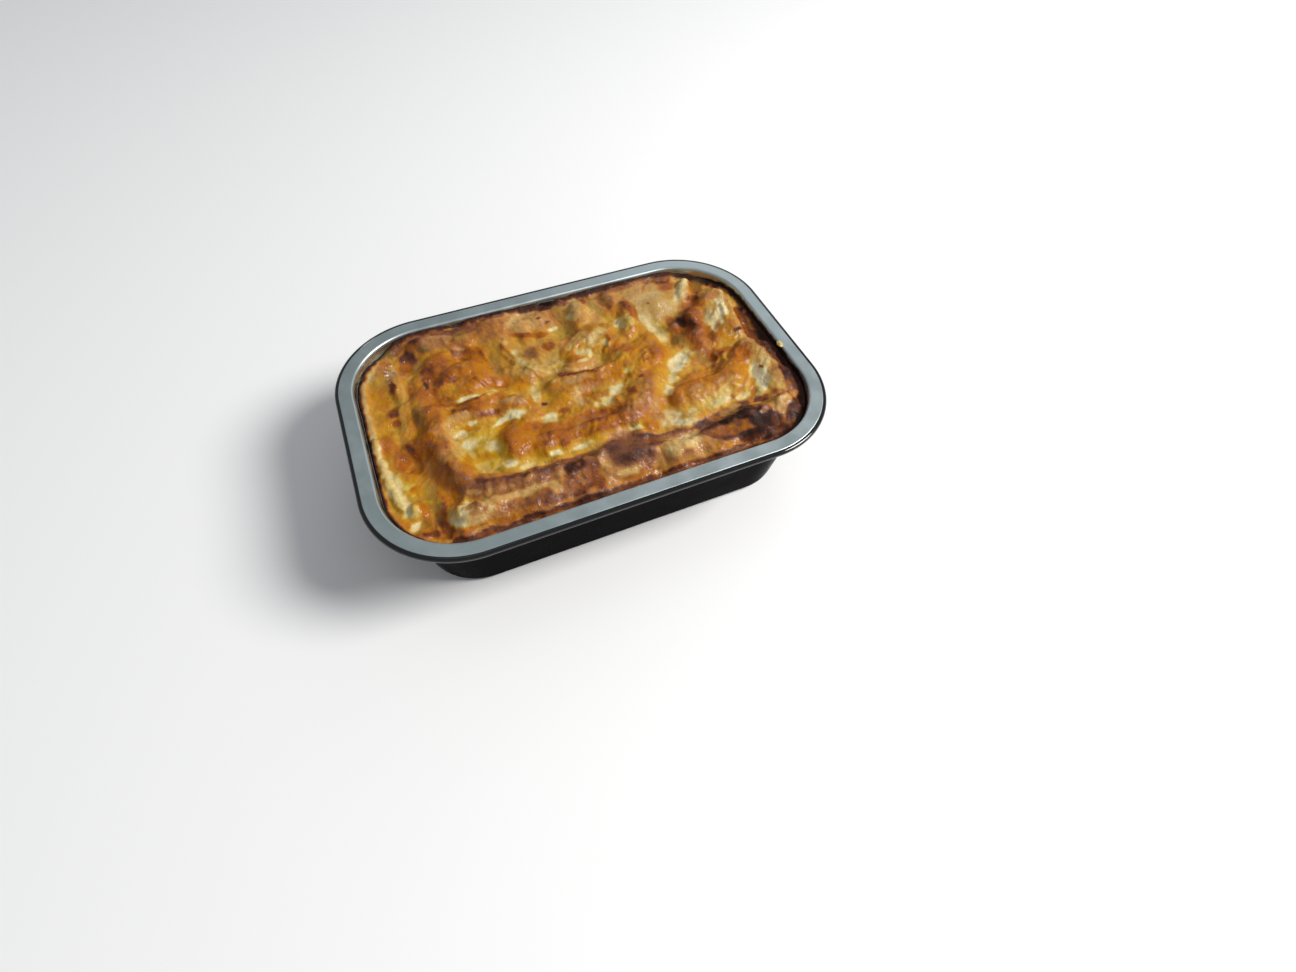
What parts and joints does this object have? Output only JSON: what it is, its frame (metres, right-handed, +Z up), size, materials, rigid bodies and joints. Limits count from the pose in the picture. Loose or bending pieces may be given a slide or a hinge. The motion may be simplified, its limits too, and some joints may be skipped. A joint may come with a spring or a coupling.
{
  "type": "foil tray meal",
  "caption": "Baked dish with a folded, browned cheese crust in its smooth-walled foil tray with a flat flange and a rolled edge.",
  "frame": {"origin": "middle of the underside, where the tray stands", "axes": "+X along the long side, +Y across it, +Z up"},
  "size_m": [0.2282, 0.154, 0.0558],
  "materials": {
    "foil": "satin silver foil inside and on the flange",
    "lacquer": "glossy black lacquer outside and on the rolled edge",
    "crust": "oily baked cheese and sauce, from cream to burnt brown"
  },
  "bodies": {
    "root": {"tray": "foil", "bake": "crust"}
  },
  "joints": []
}
